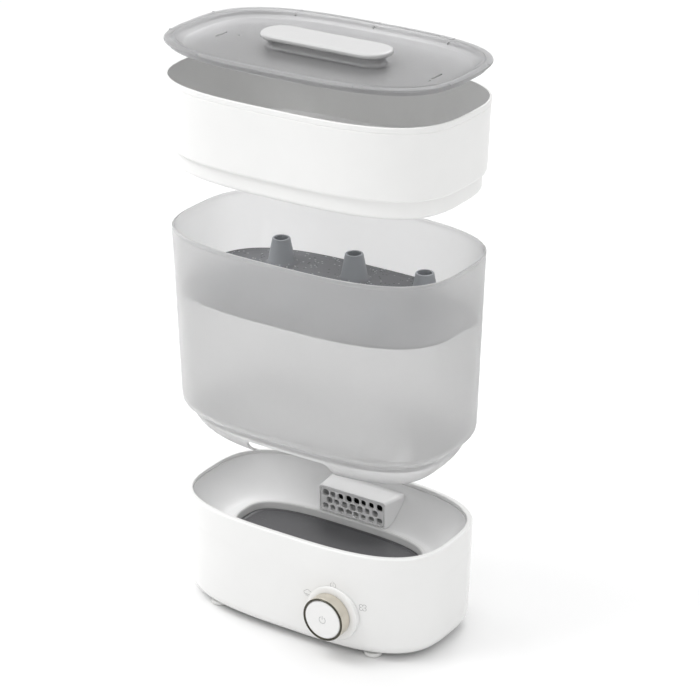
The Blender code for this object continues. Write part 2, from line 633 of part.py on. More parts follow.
# ---- assembly ---------------------------------------------------------------------------
def main():
    clear_scene()
    paint = {
        "white gloss": material("white gloss", (0.82, 0.82, 0.82), 0.18),
        "white satin": material("white satin", (0.84, 0.84, 0.83), 0.35),
        "white matt": material("white matt", (0.80, 0.80, 0.80), 0.55),
        "tub grey": material("tub grey", (0.76, 0.76, 0.76), 0.40),
        "heater coating": material("heater coating", (0.09, 0.09, 0.10), 0.38),
        "silicone": material("silicone", (0.70, 0.70, 0.69), 0.60),
        "frosted": material("frosted", (0.86, 0.86, 0.86), 0.42, alpha=0.55),
        "lid grey": material("lid grey", (0.58, 0.58, 0.58), 0.34, alpha=0.8),
        "tray grey": material("tray grey", (0.20, 0.20, 0.21), 0.55),
        "champagne metal": material("champagne metal", (0.58, 0.54, 0.46), 0.34, 0.9),
        "dark trim": material("dark trim", (0.07, 0.07, 0.06), 0.35, 0.4),
        "steel": material("steel", (0.55, 0.55, 0.56), 0.30, 1.0),
        "black": material("black", (0.03, 0.03, 0.03), 0.50),
        "fan grey": material("fan grey", (0.25, 0.25, 0.26), 0.50),
        "filter foam": material("filter foam", (0.16, 0.17, 0.18), 0.95),
        "board green": material("board green", (0.03, 0.20, 0.08), 0.45),
    }
    base = empty("base", (0, FRAME_Y, 0))
    build_housing(base, paint)
    build_tub(base, paint)
    build_bottom(base, paint)
    build_heater(base, paint)
    spin = empty("fan_axis", (BLOWER_X, 56 * MM, BLOWER_Z), base)
    build_dryer(base, paint, spin)
    build_electronics(base, paint)
    knob = empty("knob_axis", (KNOB_X, KNOB_BACK_Y, KNOB_Z), base)
    build_knob(base, knob, paint)

    lower = empty("lower_basket_slide", (0, 0, BASE_RIM_Z + LOWER_LIFT), base)
    build_lower_basket(lower, paint)
    tray = empty("tray_slide", (0, 0, TRAY_SHELF), lower)
    build_tray(tray, paint)
    upper = empty("upper_basket_slide", (0, 0, LOWER_RIM + UPPER_LIFT), lower)
    build_upper_basket(upper, paint)
    lid = empty("lid_slide", (0, 0, UPPER_RIM + LID_LIFT), upper)
    build_lid(lid, paint)


main()
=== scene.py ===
# %% [markdown]
# # A bottle steriliser, lifted apart tier by tier
# This lesson builds the finished look of an electric steam steriliser: a white base with
# a heated tub, a frosted basket, a tray of drying cones, a small upper basket and a lid.
# A frame of plain CAD solids already says where every piece sits and how it moves. The
# lesson reads that frame, makes a finer mesh for what shows, and lets it ride the same bodies.

# %% Load the frame and keep its box
import math
import bpy
import bmesh
from mathutils import Matrix, Vector


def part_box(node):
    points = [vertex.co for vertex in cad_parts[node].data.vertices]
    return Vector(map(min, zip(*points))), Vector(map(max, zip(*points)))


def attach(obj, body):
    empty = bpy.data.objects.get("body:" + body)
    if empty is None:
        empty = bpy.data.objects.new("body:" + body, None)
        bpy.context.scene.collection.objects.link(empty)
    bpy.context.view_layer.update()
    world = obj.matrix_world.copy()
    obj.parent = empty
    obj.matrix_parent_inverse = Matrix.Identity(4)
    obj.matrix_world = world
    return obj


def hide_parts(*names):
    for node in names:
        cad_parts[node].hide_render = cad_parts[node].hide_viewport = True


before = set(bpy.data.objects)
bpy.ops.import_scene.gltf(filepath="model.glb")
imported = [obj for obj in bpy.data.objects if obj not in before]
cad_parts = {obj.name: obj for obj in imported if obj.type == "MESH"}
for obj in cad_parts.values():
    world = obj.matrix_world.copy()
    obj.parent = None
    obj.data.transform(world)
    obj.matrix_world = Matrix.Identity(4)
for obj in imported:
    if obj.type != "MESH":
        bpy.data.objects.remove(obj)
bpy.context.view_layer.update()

# %% [markdown]
# ## The shared sizes
# Every tier has the same rounded plan, so the lid's box gives the length, the depth and the
# middle for all of them. Each tier's seat height also comes from its own CAD box. Sections
# below are drawn in millimetres above that seat, which keeps the numbers easy to read.

# %% Read the sizes of the tiers
MM = 0.001
lid_low, lid_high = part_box("lid_panel")
HALF_LENGTH = (lid_high.x - lid_low.x) / 2
SLENDERNESS = HALF_LENGTH - (lid_high.y - lid_low.y) / 2
MIDDLE_Y = (lid_high.y + lid_low.y) / 2
BASE_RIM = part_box("outer_housing")[1].z / MM
BASE_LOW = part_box("outer_housing")[0].z / MM
LOWER_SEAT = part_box("large_basket")[0].z / MM
LOWER_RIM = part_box("large_basket")[1].z / MM - LOWER_SEAT
TRAY_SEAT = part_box("bottle_tray")[0].z / MM
UPPER_DROP = 17.5
UPPER_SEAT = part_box("small_basket")[0].z / MM + UPPER_DROP
UPPER_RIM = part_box("small_basket")[1].z / MM - UPPER_SEAT
LID_DROP = 7.2
LID_SEAT = lid_low.z / MM + LID_DROP
print("seats (mm):", round(LOWER_SEAT, 1), round(TRAY_SEAT, 1), round(UPPER_SEAT, 1), round(LID_SEAT, 1))

# %% [markdown]
# ## The rounded plan
# The plan is a superellipse: fuller than an oval and softer than a rectangle. One list of
# unit points is worked out once, and every ring of every tier stretches it to its own
# half length. The depth follows, because the wall keeps the same distance all round.

# %% Draw the plan
SQUARENESS = 3.07
AROUND = 192


def signed_power(value):
    """The superellipse's power of a cosine or sine, with its sign kept."""
    return math.copysign(abs(value) ** (2 / SQUARENESS), value)


turns = [math.tau * step / AROUND for step in range(AROUND)]
unit_plan = [(signed_power(math.cos(turn)), signed_power(math.sin(turn))) for turn in turns]


def plan(half, z):
    """The rounded plan with a half length, at height z, both in millimetres."""
    depth = half * MM - SLENDERNESS
    return [Vector((half * MM * x, depth * y + MIDDLE_Y, z * MM)) for x, y in unit_plan]


print("points round a tier:", len(unit_plan))

# %% [markdown]
# ## Sections with soft corners
# A moulded wall has no sharp corner: the tool leaves a small radius on each edge, and that
# radius is what catches the light. A section is typed as a few corners, and each corner is
# then swapped for a short curve that starts and ends a set reach away from it.

# %% Round a section, draw an arc
def soften(section, reach, closed=True, steps=4):
    """Swap each corner of a section for a short curve."""
    count = len(section)
    rounded = []
    for i, corner in enumerate(section):
        if not closed and i in (0, count - 1):
            rounded.append(tuple(corner))
            continue
        here = Vector(corner)
        before = Vector(section[i - 1]) - here
        after = Vector(section[(i + 1) % count]) - here
        start = before.normalized() * min(reach, before.length * 0.45)
        end = after.normalized() * min(reach, after.length * 0.45)
        for step in range(steps + 1):
            share = step / steps
            rounded.append(tuple(here + start * (1 - share) ** 2 + end * share ** 2))
    return rounded


def arc(centre, radius, start, end, steps=8):
    """Points of an arc, with its angles in degrees."""
    angles = [math.radians(start + (end - start) * i / steps) for i in range(steps + 1)]
    return [(centre[0] + radius * math.cos(a), centre[1] + radius * math.sin(a)) for a in angles]


print("a square corner softens to", len(soften([(0, 0), (1, 0), (1, 1)], 0.3)) // 3, "points each")

# %% [markdown]
# ## From rings to a mesh
# A wall is a stack of rings joined by four-sided faces. Joining the last ring back to the
# first gives a hollow wall, and closing the two ends gives a solid. Direct faces keep the
# edge flow along the shape, which a general fill tool would not promise.

# %% Skin a stack of rings
def skin(mesh, rings, hollow):
    """Join rings with quads. A hollow stack meets itself, a solid one is closed at both ends."""
    stack = [[mesh.verts.new(point) for point in ring] for ring in rings]
    pairs = list(zip(stack, stack[1:]))
    if hollow:
        pairs.append((stack[-1], stack[0]))
    else:
        mesh.faces.new(stack[0][::-1])
        mesh.faces.new(stack[-1])
    for lower, upper in pairs:
        for i in range(len(lower)):
            j = (i + 1) % len(lower)
            mesh.faces.new((lower[i], lower[j], upper[j], upper[i]))


def solid(name, *stacks, hollow=False):
    """A named object from one or more stacks of rings."""
    mesh = bmesh.new()
    for rings in stacks:
        skin(mesh, rings, hollow)
    bmesh.ops.recalc_face_normals(mesh, faces=mesh.faces)
    data = bpy.data.meshes.new(name)
    mesh.to_mesh(data)
    mesh.free()
    made = bpy.data.objects.new(name, data)
    bpy.context.scene.collection.objects.link(made)
    return made


def tier(section, seat):
    """Rings of the rounded plan for a section of (half length, height above the seat)."""
    return [plan(half, seat + z) for half, z in section]


print("skin and tier are ready")

# %% [markdown]
# ## Turned shapes and stacked outlines
# Knob, cones and feet are round, so their sections are spun about an axis. Slots, grille
# cells and the vent hood are outlines stacked along a direction. Both end as rings too,
# so the same skin serves every shape in the lesson.

# %% Spin a section, stack an outline
def spun(section, centre, axis="Z", sides=64):
    """Rings for a section of (radius, height along the axis), in millimetres."""
    rings = []
    for radius, height in section:
        ring = []
        for step in range(sides):
            turn = math.tau * step / sides
            across, up = radius * math.cos(turn), radius * math.sin(turn)
            local = (across, height, up) if axis == "Y" else (across, up, height)
            ring.append((Vector(centre) + Vector(local)) * MM)
        rings.append(ring)
    return rings


def stadium(centre, half_x, half_y, radius, steps=8):
    """A rectangle with round corners, or a full stadium where the radius is the half width."""
    outline = []
    for quarter, (side_x, side_y) in enumerate(((1, 1), (-1, 1), (-1, -1), (1, -1))):
        middle = (centre[0] + side_x * (half_x - radius), centre[1] + side_y * (half_y - radius))
        outline += arc(middle, radius, 90 * quarter, 90 * quarter + 90, steps)
    return outline


def upright(outline, z):
    """An outline of (x, y) at one height. y is measured from the middle of the tiers."""
    return [Vector((x * MM, y * MM + MIDDLE_Y, z * MM)) for x, y in outline]


def facing(outline, y):
    """An outline of (x, z) standing across the depth at y, measured from the middle."""
    return [Vector((x * MM, y * MM + MIDDLE_Y, z * MM)) for x, z in outline]


Y0 = MIDDLE_Y / MM
print("middle of the tiers is at y =", round(Y0, 2), "mm")

# %% [markdown]
# ## Cutting and joining
# Slots, drains and vents are cut with a Boolean, because their outlines do not follow the
# rings of the wall. The result is kept as plain mesh, so no tool shape is left behind.

# %% Cut, join or keep a shared part
def combine(target, tool, operation="DIFFERENCE"):
    """Cut, join or keep the shared part of two meshes, and remove the tool."""
    change = target.modifiers.new("shape", "BOOLEAN")
    change.operation = operation
    change.solver = "EXACT"
    change.object = tool
    bpy.context.view_layer.update()
    graph = bpy.context.evaluated_depsgraph_get()
    made = bpy.data.meshes.new_from_object(target.evaluated_get(graph))
    target.modifiers.remove(change)
    target.data = made
    bpy.data.objects.remove(tool)


def flared(outline_of, low, high, edge):
    """Rings of a drill whose mouth opens by edge at both faces, so the hole's rim is bevelled."""
    levels = [(low - edge, edge * 2), (low + edge, 0), (high - edge, 0), (high + edge, edge * 2)]
    return [outline_of(grow, z) for z, grow in levels]


print("combine and flared are ready")

# %% [markdown]
# ## Colours and the one node helper
# Colours are written as the hex values a designer would use and turned to the linear
# values the shader needs. One helper adds a node with its settings and plugs its sockets,
# so each recipe reads as a list of what feeds what.

# %% Linear colour, add a node
def linear(code):
    """sRGB hex to linear RGBA."""
    values = [int(code[i:i + 2], 16) / 255 for i in (1, 3, 5)]
    return (*[v / 12.92 if v <= 0.04045 else ((v + 0.055) / 1.055) ** 2.4 for v in values], 1.0)


def add(tree, kind, sockets=None, **settings):
    """Add a shader node. sockets maps an input to a value or to the output that feeds it."""
    made = tree.nodes.new("ShaderNode" + kind)
    for name, value in settings.items():
        setattr(made, name, value)
    for name, value in (sockets or {}).items():
        if isinstance(value, bpy.types.NodeSocket):
            tree.links.new(value, made.inputs[name])
        else:
            made.inputs[name].default_value = value
    return made


print("white in linear light:", [round(v, 3) for v in linear("#f2f2f0")[:3]])

# %% [markdown]
# ## One recipe for moulded plastic
# Nearly every piece is injection moulded, so one recipe covers them. A broad soft noise
# shifts the colour by a percent or two, as pigment does. A fine noise stands for the skin
# of the mould: it raises a relief of a few microns and varies the roughness with it.
# Glossy ABS has a broad, shallow relief that bends reflections slightly, while satin and
# matt polypropylene have a fine, deeper one that breaks them up.

# %% The moulded plastic recipe
def moulded(name, colours, roughness, grain_mm, relief_um, ior=1.5, pigment_mm=22.0):
    """A Principled material from two close colours, and the grain and relief of its skin."""
    made = bpy.data.materials.new(name)
    made.use_nodes = True
    tree = made.node_tree
    shader = tree.nodes["Principled BSDF"]
    shader.inputs["IOR"].default_value = ior
    place = add(tree, "TexCoord")
    clouds = add(tree, "TexNoise", {"Vector": place.outputs["Object"], "Scale": 1 / (pigment_mm * MM),
                                    "Detail": 3.0})
    tint = add(tree, "Mix", {0: clouds.outputs["Fac"], 6: linear(colours[0]), 7: linear(colours[1])},
               data_type="RGBA")
    grain = add(tree, "TexNoise", {"Vector": place.outputs["Object"], "Scale": 1 / (grain_mm * MM),
                                   "Detail": 2.0})
    polish = add(tree, "MapRange", {"Value": grain.outputs["Fac"], "From Min": 0.3, "From Max": 0.7,
                                    "To Min": roughness * 0.9, "To Max": roughness * 1.1})
    relief = add(tree, "Bump", {"Height": grain.outputs["Fac"], "Distance": relief_um * 1e-6})
    tree.links.new(tint.outputs[2], shader.inputs["Base Color"])
    tree.links.new(polish.outputs[0], shader.inputs["Roughness"])
    tree.links.new(relief.outputs["Normal"], shader.inputs["Normal"])
    return made


# %% Materials: the moulded plastics
# Gloss ABS: a clear highlight with a very faint waviness.
gloss_abs = moulded("gloss white ABS", ("#ebebea", "#e8e8e7"), 0.16, 2.6, 4.0, 1.53)
# Satin polypropylene: a soft highlight and a slightly milky white.
satin_pp = moulded("satin white polypropylene", ("#ededec", "#e9e9e8"), 0.36, 0.8, 6.0, 1.49)
# Pale grey polypropylene: the pad is a shade darker than the basket.
pad_pp = moulded("satin pale grey polypropylene", ("#bcbcbc", "#b8b8b8"), 0.34, 0.8, 6.0, 1.49)
# Spark-eroded polypropylene: a dry, matt white under the base.
matt_pp = moulded("matt white polypropylene", ("#e8e8e6", "#e2e2e0"), 0.55, 0.5, 14.0, 1.49)
# Grey tub polypropylene: even and satin, so steam marks wipe off.
tub_pp = moulded("satin grey polypropylene", ("#e6e6e6", "#e1e1e1"), 0.38, 0.7, 6.0, 1.49)
# Silicone: soft, dull and a little darker than the tub.
silicone = moulded("moulded grey silicone", ("#dcdcdb", "#d6d6d5"), 0.60, 0.9, 8.0, 1.41)
# Black glass-filled nylon: dull with a coarse skin, as used near heat.
black_nylon = moulded("black glass filled nylon", ("#1e1e1f", "#252526"), 0.52, 0.6, 16.0, 1.53)
# Grey acetal: smooth and slightly waxy, for the fan and the shaft.
grey_acetal = moulded("grey acetal", ("#8a8a8c", "#7f7f82"), 0.42, 0.9, 6.0, 1.48)
# Pad-printed ink: thin, matt and mid grey.
grey_ink = moulded("pad printed grey ink", ("#b4b4b4", "#aaaaaa"), 0.50, 0.4, 3.0, 1.5)
print("last of the moulded materials:", grey_ink.name)

# %% [markdown]
# ## Frosted polypropylene
# The lower basket is natural polypropylene with an etched skin. Light passes through it but
# is scattered, so the tray behind the wall shows only as a soft dark band. Part of the light
# is sent through the wall with a high roughness, and the rest is reflected as milky white.
# The lid uses the same plastic with grey pigment.

# %% Let the light through
def let_through(made, share):
    """Send a share of the light through a plastic's wall."""
    made.node_tree.nodes["Principled BSDF"].inputs["Transmission Weight"].default_value = share
    return made


# Natural polypropylene: bright, milky and blurred from behind.
natural = moulded("frosted natural polypropylene", ("#f2f2f2", "#eeeeee"), 0.38, 1.2, 3.0, 1.49)
frosted_pp = let_through(natural, 0.82)
# Grey-tinted polypropylene: the same blur, darker where both skins stack up.
pigmented = moulded("frosted grey polypropylene", ("#c9c9ca", "#c5c5c6"), 0.34, 1.6, 2.0, 1.49)
lid_pp = let_through(pigmented, 0.84)
print("see-through materials:", frosted_pp.name, "and", lid_pp.name)

# %% [markdown]
# ## Finishing a piece
# A piece is finished in the same few steps each time: smooth shading that still breaks at
# real edges, its material, the body it rides on, and the CAD nodes it stands for, which are
# hidden.

# %% Finish a piece
def finish(made, material, body, slot, *stands_for):
    """Shade a piece, give it its material, tie it to its body and hide the CAD nodes it stands for."""
    made.data.materials.clear()
    made.data.materials.append(material)
    made.data.shade_smooth()
    made.data.set_sharp_from_angle(angle=math.radians(38))
    made.modifiers.new("even_faces", "WEIGHTED_NORMAL").keep_sharp = True
    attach(made, body)
    if stands_for:
        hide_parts(*stands_for)
    print(made.name, "-", len(made.data.polygons), "faces on", body)


# %% [markdown]
# ## The lid panel
# The lid is one dished moulding: a flat flange, a raised bead that stiffens it, a sloping
# band and a flat floor. The stem of the handle rises from the floor and is hollow below.
# The section is spun round the plan, then the stem is joined and the hollow is cut.

# %% Shape the lid
lid_top = [(142, -4), (142, 0), (145.6, 0), (146, 1.0), (145.6, 2.0), (140.4, 2.0), (139.3, 3.2),
           (137.6, 3.0), (131, -3.2), (126, -5.2)]
lid_under = [(126, -7.2), (132.2, -5), (137.6, 0.2), (140.2, 0.2), (140.2, -4)]
FLOOR_RINGS = (84, 91, 98, 105, 112, 119)
lid_section = [(half, -7.2) for half in FLOOR_RINGS]
lid_section += soften(lid_under + lid_top, 0.5, closed=False)
lid_section += [(half, -5.2) for half in FLOOR_RINGS[::-1]]
lid = solid("lid", tier(lid_section, LID_SEAT))
GRIP_STRAIGHT = 46


def grip_outline(half, z, steps=12):
    """The stadium shared by the stem and the pad: the half depth follows the half length."""
    depth = half - GRIP_STRAIGHT
    return upright(stadium((0, 0), half, depth, depth - 0.2, steps), LID_SEAT + z)


stem_fillet = arc((62.4, -1.4), 3.8, 268, 182, 8)
stem_levels = [(62.6, -6.4)] + stem_fillet + [(58.4, 3.0)]
combine(lid, solid("stem", [grip_outline(half, z) for half, z in stem_levels]), "UNION")
pocket = stadium((0, 0), 55.5, 9.5, 9.4, 12)
combine(lid, solid("pocket", [upright(pocket, LID_SEAT + z) for z in (-9, 1)]))
print("lid faces:", len(lid.data.polygons))

# %% [markdown]
# ## Vents and stacking nubs
# Steam leaves through a narrow slot and a pinhole near each end of the lid's floor. Small
# ribs across the flange and the sloping band keep stacked lids from sticking together.
# The slots are cut with flared drills, and the ribs are joined as low rounded blocks.

# %% Cut the vents, add the ribs
VENT_X = 111.0
PINHOLES = ((-96, 6), (112, -13))


def vent(x, y, half_y):
    """A flared drill for one slot through the lid's floor."""
    def outline(grow, z):
        return upright(stadium((x, y), 1.1 + grow, half_y + grow, 1.05 + grow, 6), LID_SEAT + z)
    return flared(outline, -7.2, -5.2, 0.25)


vents = [vent(side * VENT_X, 0, 8.5) for side in (-1, 1)]
vents += [vent(x, y, 1.15) for x, y in PINHOLES]
combine(lid, solid("vents", *vents))


def across_plan(half, x):
    """Distance from the long axis to a ring's edge at x."""
    return (half - SLENDERNESS / MM) * (1 - (abs(x) / half) ** SQUARENESS) ** (1 / SQUARENESS)


RIB_SPACING = 79.5
RIB_LONG = 1.6
RIB_WIDE = 0.6
ON_FLANGE = (1.2, 2.5)
ON_BAND = (-2.4, 1.4)
ribs = []
for x in (-RIB_SPACING, 0, RIB_SPACING):
    for side in (-1, 1):
        ribs.append((x, side * across_plan(143.2, x), RIB_WIDE, RIB_LONG, ON_FLANGE))
        ribs.append((x, side * across_plan(135.0, x), RIB_WIDE, RIB_LONG, ON_BAND))
ribs += [(side * 142.6, y, RIB_LONG, RIB_WIDE, ON_FLANGE) for y in (-32, 32) for side in (-1, 1)]
for x, y, half_x, half_y, levels in ribs:
    outline = stadium((x, y), half_x, half_y, 0.55, 4)
    combine(lid, solid("rib", [upright(outline, LID_SEAT + z) for z in levels]), "UNION")
finish(lid, lid_pp, "lid", "lid_grey", "lid_panel")

# %% [markdown]
# ## The handle pad
# A pale stadium-shaped pad caps the stem and overhangs it all round, so fingertips fit
# under it. Its top edge has a generous radius and its underside a small chamfer.

# %% Shape the pad
pad_top = (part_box("lid_handle_cap")[1].z / MM) - LID_SEAT
pad_levels = soften([(63.0, 3.3), (65.0, 4.4), (65.0, pad_top - 1.2), (63.2, pad_top)], 1.2, closed=False)
pad_levels.append((61.5, pad_top))
pad = solid("handle_pad", [grip_outline(half, z, 16) for half, z in pad_levels])
finish(pad, pad_pp, "lid", "white_satin", "lid_handle_cap")

# %% [markdown]
# ## The upper basket
# The upper basket is a plain white bowl with a slight draft, so it slips out of its mould.
# A step near its foot rests on the rim of the basket below, and a narrow ledge inside
# carries the perforated floor. A fine groove under the rim marks the grip band.

# %% Shape the upper basket
foot = -UPPER_DROP
upper_out = [(145.0, UPPER_RIM), (145.5, UPPER_RIM - 0.7), (145.36, UPPER_RIM - 4.6),
             (145.0, UPPER_RIM - 4.9), (145.0, UPPER_RIM - 5.4), (145.3, UPPER_RIM - 5.7),
             (143.3, 2.0), (142.4, 0), (139.6, 0)]
upper_corner = arc((134.6, foot + 5), 5, 0, -90)
upper_in = [(128, foot), (128, foot + 2), (134.4, foot + 2), (137.5, foot + 5), (137.6, 2), (141.3, 4.4),
            (143.7, UPPER_RIM)]
upper_section = soften(upper_out, 0.35)[:-2] + [(139.6, 0)] + upper_corner
upper_section += soften(upper_in, 0.6, closed=False)
upper = solid("upper_basket", tier(upper_section, UPPER_SEAT), hollow=True)
finish(upper, satin_pp, "upper_basket", "white_satin", "small_basket")

# %% [markdown]
# ## Perforated floors
# Water drips and steam rises through slots in both basket floors. A helper lays out a grid
# of slots with bevelled mouths, and one Boolean cuts them all.

# %% Cut slots in a plate
def perforate(plate, centres, half_x, half_y, low, high):
    """Cut the same upright slot at each centre."""
    cutters = []
    for x, y in centres:
        def outline(grow, z, x=x, y=y):
            corner = min(half_x, half_y) - 0.1
            return upright(stadium((x, y), half_x + grow, half_y + grow, corner + grow, 5), z)
        cutters.append(flared(outline, low, high, 0.25))
    combine(plate, solid("slots", *cutters))


floor_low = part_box("small_basket_floor")[0].z / MM - UPPER_SEAT
plate_edge = [(132.6, floor_low), (133.7, floor_low + 0.4), (134.2, floor_low + 1.6), (133.8, floor_low + 2)]
upper_floor = solid("upper_floor", tier(plate_edge, UPPER_SEAT))
grid = [(column * 25, row * 36) for row in (-1, 0, 1) for column in range(-4, 5)]
perforate(upper_floor, grid, 4, 14, UPPER_SEAT + floor_low, UPPER_SEAT + floor_low + 2)
finish(upper_floor, satin_pp, "upper_basket", "white_satin", "small_basket_floor")

# %% [markdown]
# ## The lower basket
# This is the tall frosted wall. It is thicker below the tray's shelf and thinner above it,
# and its foot curves in to a skirt that drops into the base. A fine groove under the rim
# gives the double line of a snap-fit edge.

# %% Shape the tall wall
def lower_half(z):
    """Half length of the outer face: the wall leans out from 139.5 to 144.2 mm."""
    return 139.5 + 4.7 * (z - 6) / (LOWER_RIM - 6)


SHELF = TRAY_SEAT - LOWER_SEAT - 0.3
rim = LOWER_RIM
groove = [(lower_half(rim) - 0.02, rim - 2.6), (lower_half(rim) - 0.4, rim - 2.9),
          (lower_half(rim) - 0.4, rim - 3.3), (lower_half(rim) - 0.1, rim - 3.6)]
lower_section = [(lower_half(rim) - 0.5, rim), (lower_half(rim), rim - 0.6)] + groove
lower_section += [(lower_half(9), 9), (138.7, 5), (136.9, 1.6), (134.9, 0), (132.4, 0),
                  (lower_half(9) - 3.2, 7), (lower_half(SHELF) - 3.2, SHELF),
                  (lower_half(SHELF) - 2.0, SHELF), (lower_half(rim) - 2.0, rim)]
lower = solid("lower_basket", tier(soften(lower_section, 0.5), LOWER_SEAT), hollow=True)
finish(lower, frosted_pp, "lower_basket", "frosted", "large_basket")

# %% [markdown]
# ## The skirt
# The skirt has the same bowl curve as the tub it sits in. Its lip slips up inside the tall
# wall, and two wide notches let it pass the vent hood whichever way round it is put down.

# %% Shape the skirt
def bowl(share):
    """How far a bowl's wall has come in at a share of its depth, from 0 to 1."""
    return 1 - (1 - share ** 1.5) ** (2 / 3)


SKIRT_DEPTH = 30.0
SKIRT_TOP = 131.9
SKIRT_FLARE = 25
shares = [math.sin(math.pi / 2 * step / 16) for step in range(17)]
skirt_out = [(SKIRT_TOP - SKIRT_FLARE * bowl(share), -SKIRT_DEPTH * share) for share in shares]
skirt_in = [(half - 2.0, z) for half, z in skirt_out]
skirt_section = skirt_out + skirt_in[::-1] + [(129.9, 2.1), (130.2, 2.4), (131.6, 2.4), (131.9, 2.1)]
skirt = solid("skirt", tier(skirt_section, LOWER_SEAT), hollow=True)
notch_top = LOWER_SEAT - 10.6
notch = stadium((0, notch_top - 25), 44, 25, 6, 10)
combine(skirt, solid("notch", [facing(notch, y) for y in (-120, 120)]))
finish(skirt, frosted_pp, "lower_basket", "frosted", "basket_skirt")

# %% [markdown]
# ## The floor the bottles stand on
# A thin plate closes the skirt just under the seat. It has two rows of slots, so steam
# comes up between the bottles and water drips back to the heater. It is cut the same way
# as the upper floor.

# %% Shape and cut the lower floor
lower_floor_low, lower_floor_high = (corner.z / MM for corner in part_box("large_basket_floor"))
floor_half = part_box("large_basket_floor")[1].x / MM
plate_edge = [(floor_half - 0.3, lower_floor_low), (floor_half, lower_floor_low + 0.4),
              (floor_half, lower_floor_high - 0.4), (floor_half - 0.4, lower_floor_high)]
lower_floor = solid("lower_floor", tier(plate_edge, 0))
grid = [(column * 24, row * 24) for row in (-1, 1) for column in range(-4, 5)]
perforate(lower_floor, grid, 3.5, 15, lower_floor_low, lower_floor_high)
finish(lower_floor, frosted_pp, "lower_basket", "frosted", "large_basket_floor")

# %% [markdown]
# ## Speckled tray plastic
# The tray is dark grey polypropylene with a pale mineral fleck, a finish that hides water
# marks. Flecks 1.8 mm across come from the cell centres of a Voronoi pattern, kept only
# where the cell's own random value is high, so that they stay scattered. A second random
# value turns some of them dark.

# %% The speckled plastic
speckled_pp = moulded("speckled grey polypropylene", ("#7f8083", "#78797c"), 0.46, 0.8, 10.0, 1.49)
tree = speckled_pp.node_tree
shader = tree.nodes["Principled BSDF"]
FLECK_SPACING = 3.4
FLECK_RADIUS = 0.9
place = add(tree, "TexCoord")
cells = add(tree, "TexVoronoi", {"Vector": place.outputs["Object"], "Scale": 1 / (FLECK_SPACING * MM)})
near = add(tree, "Math", {0: cells.outputs["Distance"], 1: FLECK_RADIUS / FLECK_SPACING},
           operation="LESS_THAN")
lucky = add(tree, "SeparateColor", {"Color": cells.outputs["Color"]})
chosen = add(tree, "Math", {0: lucky.outputs[0], 1: 0.45}, operation="GREATER_THAN")
dark = add(tree, "Math", {0: lucky.outputs[1], 1: 0.55}, operation="GREATER_THAN")
fleck = add(tree, "Math", {0: near.outputs[0], 1: chosen.outputs[0]}, operation="MULTIPLY")
body_colour = shader.inputs["Base Color"].links[0].from_socket
tint = add(tree, "Mix", {0: dark.outputs[0], 6: linear("#b9bbbf"), 7: linear("#515256")}, data_type="RGBA")
flecked = add(tree, "Mix", {0: fleck.outputs[0], 6: body_colour, 7: tint.outputs[2]}, data_type="RGBA")
split = add(tree, "SeparateXYZ", {0: place.outputs["Object"]})
above = add(tree, "MapRange", {"Value": split.outputs["Z"], "From Min": (TRAY_SEAT + 2.6) * MM,
                               "From Max": (TRAY_SEAT + 6.5) * MM})
paler = add(tree, "Mix", {0: above.outputs[0], 6: flecked.outputs[2], 7: linear("#a4a7ab")}, data_type="RGBA")
tree.links.new(paler.outputs[2], shader.inputs["Base Color"])
print("fleck radius:", FLECK_RADIUS, "mm, about one per", FLECK_SPACING, "mm")

# %% [markdown]
# ## The tray and its cones
# Six hollow cones hold teats and caps upside down while they dry. Each is spun from a
# section with a wide foot, joined to the plate and then bored, so steam can pass through
# it. Small drains run along the middle of the plate.

# %% Shape the tray
tray_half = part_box("bottle_tray")[1].x / MM
tray_section = soften([(tray_half - 3, 0), (tray_half, 0), (tray_half, 1.5), (tray_half - 9, 1.5),
                       (tray_half - 10, 2.0), (tray_half - 14, 2.0)], 0.4, closed=False)
tray = solid("cone_tray", tier(tray_section, TRAY_SEAT))
CONE_SPACING = 77.5
CONE_ROWS = {-1: 40, 0: 44, 1: 40}
cones = [(column * CONE_SPACING, side * row) for side in (-1, 1) for column, row in CONE_ROWS.items()]
cone_section = [(17.0, 0.7), (17.0, 1.9)] + arc((17.6, 7.4), 5.5, 262, 190, 8)
cone_section += [(8.4, 26.4), (7.9, 27.0), (7.4, 27.0)]
bore_section = [(13.0, -2.0), (12.6, 0.2), (10.4, 7.0), (6.4, 26.2), (7.0, 28.0)]
for x, y in cones:
    combine(tray, solid("cone", spun(cone_section, (x, y + Y0, TRAY_SEAT), sides=56)), "UNION")
for x, y in cones:
    combine(tray, solid("bore", spun(bore_section, (x, y + Y0, TRAY_SEAT), sides=56)))
print("tray faces:", len(tray.data.polygons))

# %% [markdown]
# ## Drains in the tray
# Two rows of small holes run along the tray between the cones, so that drips fall through.
# A hole is left out where it would come too close to the foot of a cone.

# %% Drain the tray
DRAIN_PITCH = 15.5
CONE_CLEARANCE = 23
drains = []
for column in range(-7, 8):
    for row in (-1, 1):
        spot = Vector((column * DRAIN_PITCH, row * 8))
        if min((spot - Vector(cone)).length for cone in cones) > CONE_CLEARANCE:
            drains.append(tuple(spot))
perforate(tray, drains, 2.4, 2.4, TRAY_SEAT, TRAY_SEAT + 2)
finish(tray, speckled_pp, "tray", "tray_grey", "bottle_tray")

# %% [markdown]
# ## The base shell
# The base is a glossy white shell with a rolled rim, a nearly upright wall and a wide
# radius at the foot. The radius makes it look as if it floats above the worktop. A soft
# change of slope below the rim gives the wall its faint horizon line.

